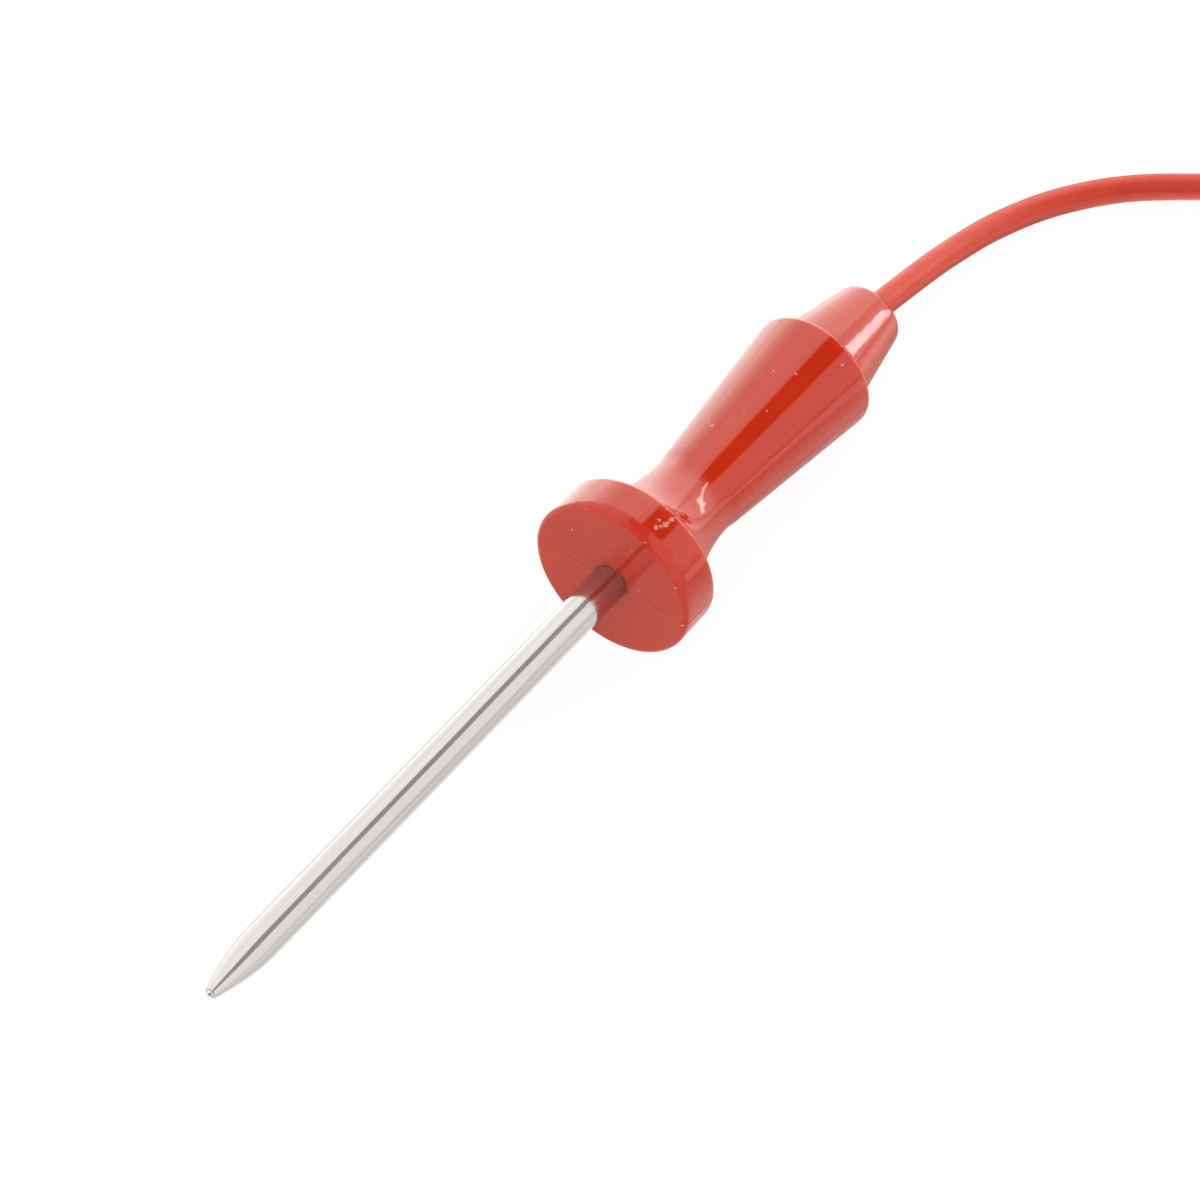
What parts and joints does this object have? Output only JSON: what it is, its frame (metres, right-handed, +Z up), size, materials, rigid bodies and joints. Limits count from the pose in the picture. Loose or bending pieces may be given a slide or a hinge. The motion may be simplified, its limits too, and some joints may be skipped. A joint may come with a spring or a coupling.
{
  "type": "meat probe",
  "caption": "Wired food temperature probe: pointed steel sheath, push-pin-shaped red silicone handle with a strain-relief boot, round red cable wound up and ending in a jack plug.",
  "frame": {"origin": "on the table, under the middle of the probe's box from the sheath's point to the end of the strain relief, without the cable", "axes": "+X from the sheath's point towards the cable, +Y to the left of that, +Z up from the table"},
  "size_m": [0.2665, 0.0488, 0.0228],
  "materials": {
    "steel": "mirror-polished stainless steel with fine lengthwise marks",
    "silicone": "glossy red silicone rubber",
    "boot_silicone": "glossy red silicone rubber",
    "cable_jacket": "satin red silicone rubber",
    "bead_glass": "amber glass",
    "cement": "matt heat-conducting cement",
    "lead_white": "white lead insulation",
    "lead_red": "red lead insulation",
    "liner": "off-white sleeving",
    "tinned_copper": "tinned copper",
    "shrink_sleeve": "dark shrink sleeving",
    "core_white": "white core insulation",
    "core_black": "black core insulation",
    "nickel": "bright nickel plate",
    "tie_plastic": "black tie",
    "plug_plastic": "black moulded plug grip",
    "ring_plastic": "black insulating ring"
  },
  "bodies": {
    "root": {"probe_sheath": "steel", "handle_grip": "silicone", "strain_relief": "boot_silicone", "cable_run": "cable_jacket", "sensor_bead": "bead_glass", "tip_potting": "cement", "lead_wire_a": "lead_white", "lead_wire_b": "lead_red", "lead_liner": "liner", "sheath_collar": "steel", "splice_crimp_a": "tinned_copper", "splice_crimp_b": "tinned_copper", "splice_sleeve_a": "shrink_sleeve", "splice_sleeve_b": "shrink_sleeve", "cable_core_a": "core_white", "cable_core_b": "core_black", "cable_anchor": "nickel", "cable_coil": "cable_jacket", "cable_tie": "tie_plastic", "cable_tail": "cable_jacket", "plug_body": "plug_plastic", "plug_sleeve": "nickel", "plug_insulator": "ring_plastic", "plug_tip": "nickel"}
  },
  "joints": []
}
